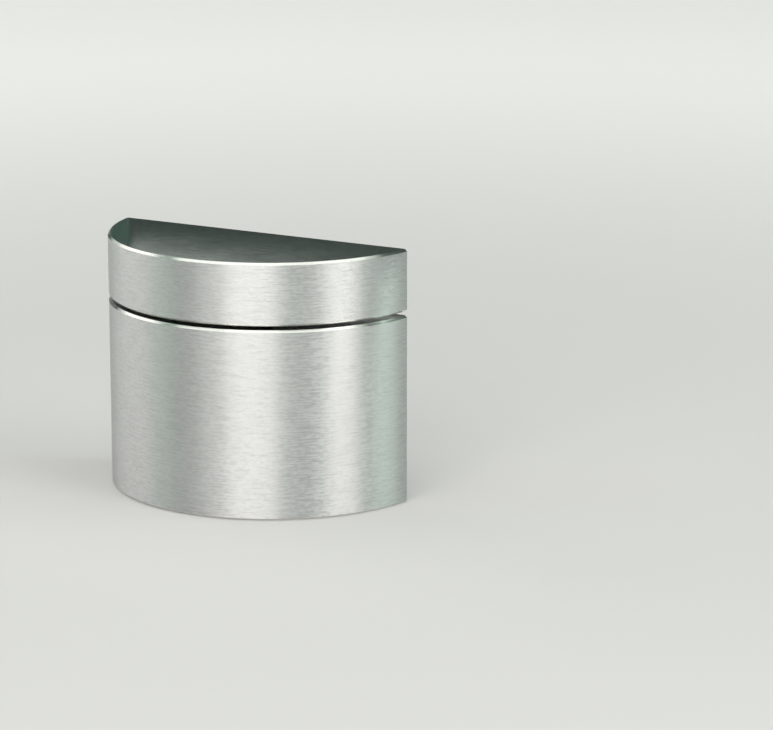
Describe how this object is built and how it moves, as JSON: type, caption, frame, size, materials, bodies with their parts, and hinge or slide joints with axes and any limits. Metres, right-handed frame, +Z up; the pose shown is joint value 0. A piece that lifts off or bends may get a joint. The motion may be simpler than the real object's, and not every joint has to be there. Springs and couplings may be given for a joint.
{
  "type": "glass door hinge",
  "caption": "Half-round satin steel door hinge for bonding to glass: a short frame knuckle over a tall door knuckle, turning on a hidden shoulder screw.",
  "frame": {"origin": "centre of the frame knuckle's flat bonding face", "axes": "+Y out of the bonding faces, into the glass; +X along the bonding face, to the right of someone facing the round side; +Z up, along the pivot"},
  "size_m": [0.0298, 0.0135, 0.0232],
  "materials": {
    "satin_stainless": "satin brushed round the curve",
    "turned_stainless": "fine turned",
    "black_acetal": "moulded, matt"
  },
  "bodies": {
    "frame": {"frame_knuckle": "satin_stainless", "pivot_screw": "turned_stainless", "head_washer": "turned_stainless"},
    "door": {"door_knuckle": "satin_stainless", "upper_bush": "black_acetal", "lower_bush": "black_acetal"}
  },
  "joints": [
    {"name": "door_pivot", "type": "hinge", "parent": "frame", "child": "door", "pos_m": [0, -0.00675, 0], "axis": [0, 0, 1], "range_deg": [0, 180]}
  ]
}
